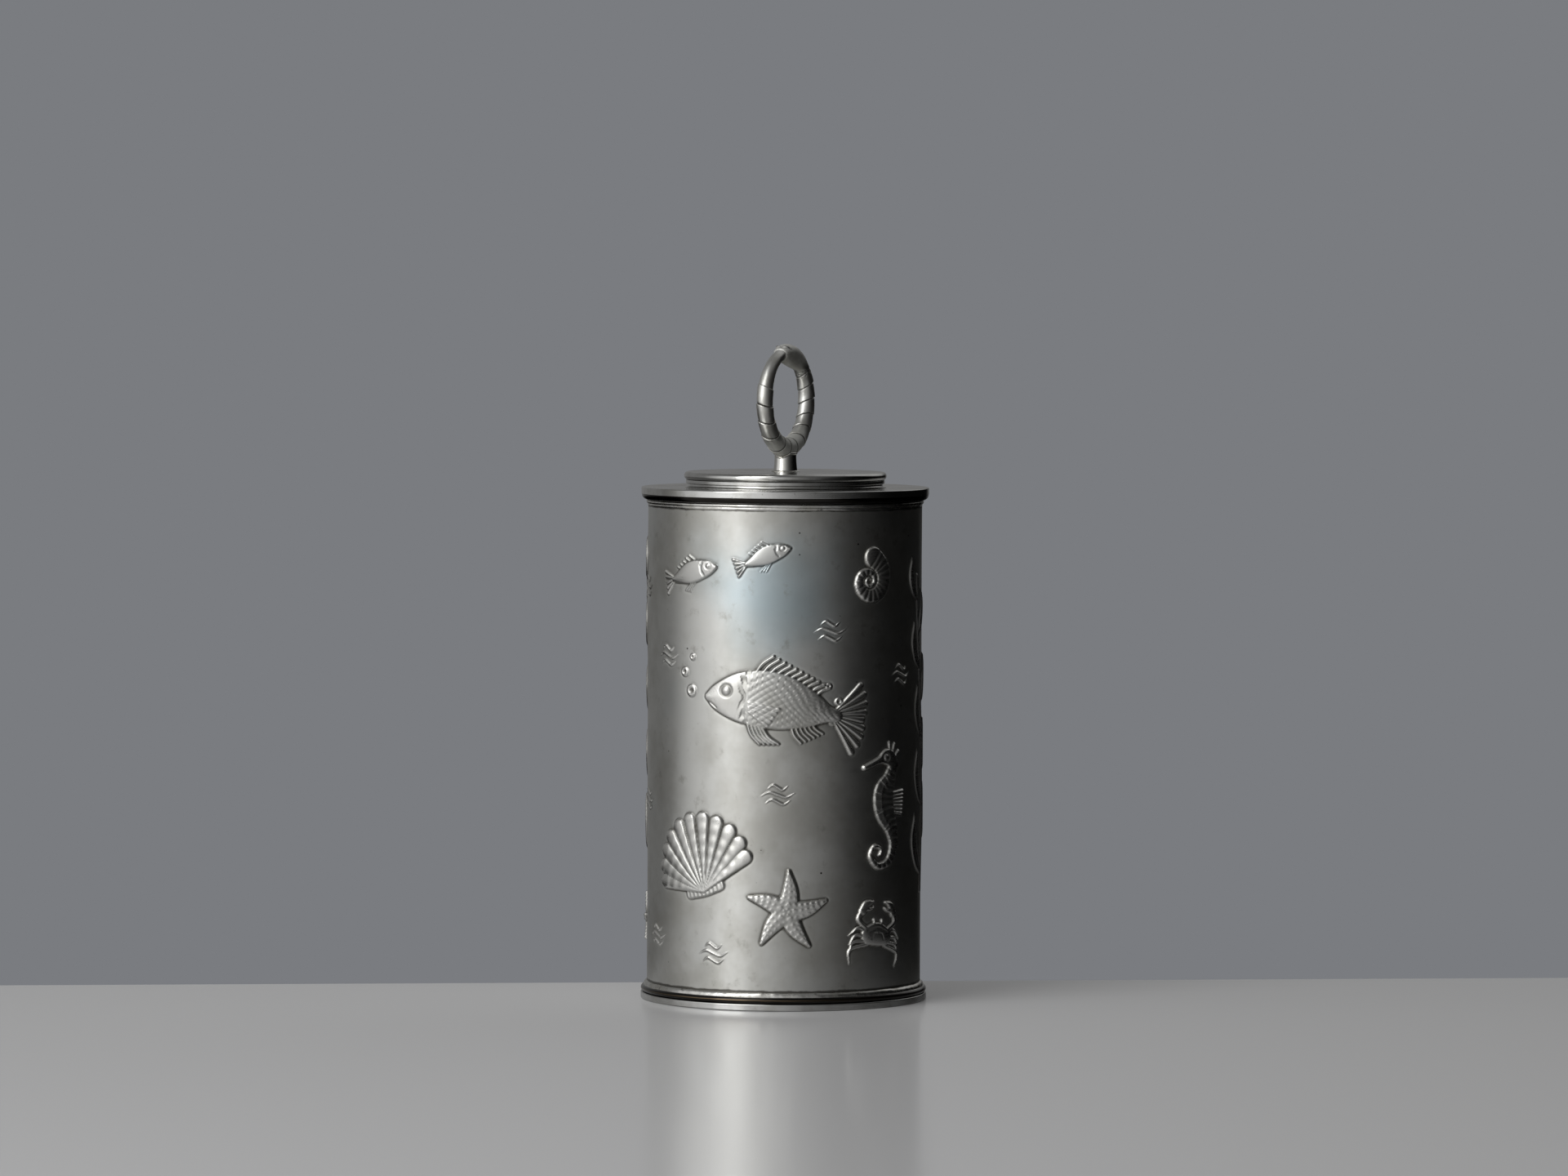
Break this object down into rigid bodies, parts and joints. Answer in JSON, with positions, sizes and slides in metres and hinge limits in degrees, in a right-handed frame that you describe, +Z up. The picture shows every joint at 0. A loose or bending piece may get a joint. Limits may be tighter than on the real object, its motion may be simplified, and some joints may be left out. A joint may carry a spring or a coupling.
{
  "type": "lidded jar",
  "caption": "Tall round pewter storage jar with a lift-off lid whose handle is a banded serpent ring on a short post.",
  "frame": {"origin": "centre of the standing ring under the base, at the surface that the jar stands on", "axes": "+Z up along the jar's axis; the serpent ring lies in the X-Z plane with its snout pointing to -X; the wall's seam is at the back, on +Y"},
  "size_m": [0.0946, 0.0946, 0.2153],
  "materials": {
    "pewter_sheet": "cast pewter sheet with low relief, rolled, satin, with a mottled grey patina",
    "pewter_turned": "turned pewter, fine lathe lines, satin to bright",
    "pewter_cast": "cast and filed pewter, satin, dark in its grooves",
    "solder": "bright, slightly lumpy solder"
  },
  "bodies": {
    "jar": {"base_plate": "pewter_turned", "base_moulding": "pewter_turned", "base_solder": "solder", "wall": "pewter_sheet", "wall_seam": "solder", "top_plate": "pewter_turned", "top_solder": "solder", "collar": "pewter_turned"},
    "lid": {"lid_step": "pewter_turned", "lid_disc": "pewter_turned", "lid_bezel": "pewter_turned", "finial_post": "pewter_cast", "post_solder": "solder", "serpent_ring": "pewter_cast"}
  },
  "joints": [
    {"name": "lid_lift", "type": "slide", "parent": "jar", "child": "lid", "axis": [0, 0, 1], "range_m": [0, 0.08]}
  ]
}
